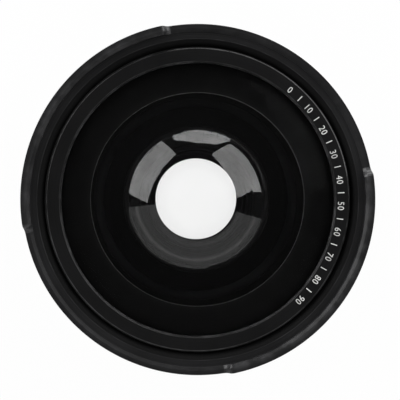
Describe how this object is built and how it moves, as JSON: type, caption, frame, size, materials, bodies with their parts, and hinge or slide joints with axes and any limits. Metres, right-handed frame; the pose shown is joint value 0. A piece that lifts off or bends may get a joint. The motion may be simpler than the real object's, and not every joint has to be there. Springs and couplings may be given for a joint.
{
  "type": "fisheye converter lens",
  "caption": "Fisheye converter lens with a bulging front glass, a two-petal hood, a rubber grip and a macro section that unscrews from the rear.",
  "frame": {"origin": "centre of the rear thread's end face, on which the lens stands", "axes": "+Z along the optical axis from the rear thread to the front glass; +Y is up and +X is right when the front is looked at"},
  "size_m": [0.0934, 0.0928, 0.0504],
  "materials": {
    "hood_anodise": "satin black anodised",
    "ring_anodise": "matte black anodised with white figures",
    "barrel_anodise": "satin black anodised",
    "macro_anodise": "satin black anodised, fluted and threaded",
    "flat_black": "flat black inside finish",
    "shim_brass": "plain",
    "black_steel": "black oxide",
    "grip_rubber": "ribbed matte",
    "seal_rubber": "plain",
    "gasket_fibre": "plain",
    "optical_glass": "polished"
  },
  "bodies": {
    "front_section": {"petal_hood": "hood_anodise", "hood_set_screws": "black_steel", "name_ring": "ring_anodise", "front_element": "optical_glass", "front_element_seal": "seal_rubber", "element_spacer": "flat_black", "main_barrel": "barrel_anodise", "grip_band": "grip_rubber", "cell_lock_screws": "black_steel", "cell_shim": "shim_brass", "second_element": "optical_glass", "second_element_cell": "flat_black", "flare_stop": "flat_black", "second_element_retainer": "flat_black"},
    "gasket_carrier": {"coupling_gasket": "gasket_fibre"},
    "macro_section": {"macro_barrel": "macro_anodise", "macro_element_seal": "seal_rubber", "macro_crown_element": "optical_glass", "macro_flint_element": "optical_glass", "macro_retaining_ring": "flat_black"}
  },
  "joints": [
    {"name": "macro_travel", "type": "slide", "parent": "front_section", "child": "gasket_carrier", "axis": [0, 0, -1], "range_m": [0, 0.003]},
    {"name": "macro_unscrew", "type": "hinge", "parent": "gasket_carrier", "child": "macro_section", "pos_m": [0, 0, 0.016], "axis": [0, 0, -1], "range_deg": [0, 1440]}
  ],
  "couplings": [
    {"joint": "macro_travel", "follows": "macro_unscrew", "m_per_rad": 0.00011936}
  ]
}
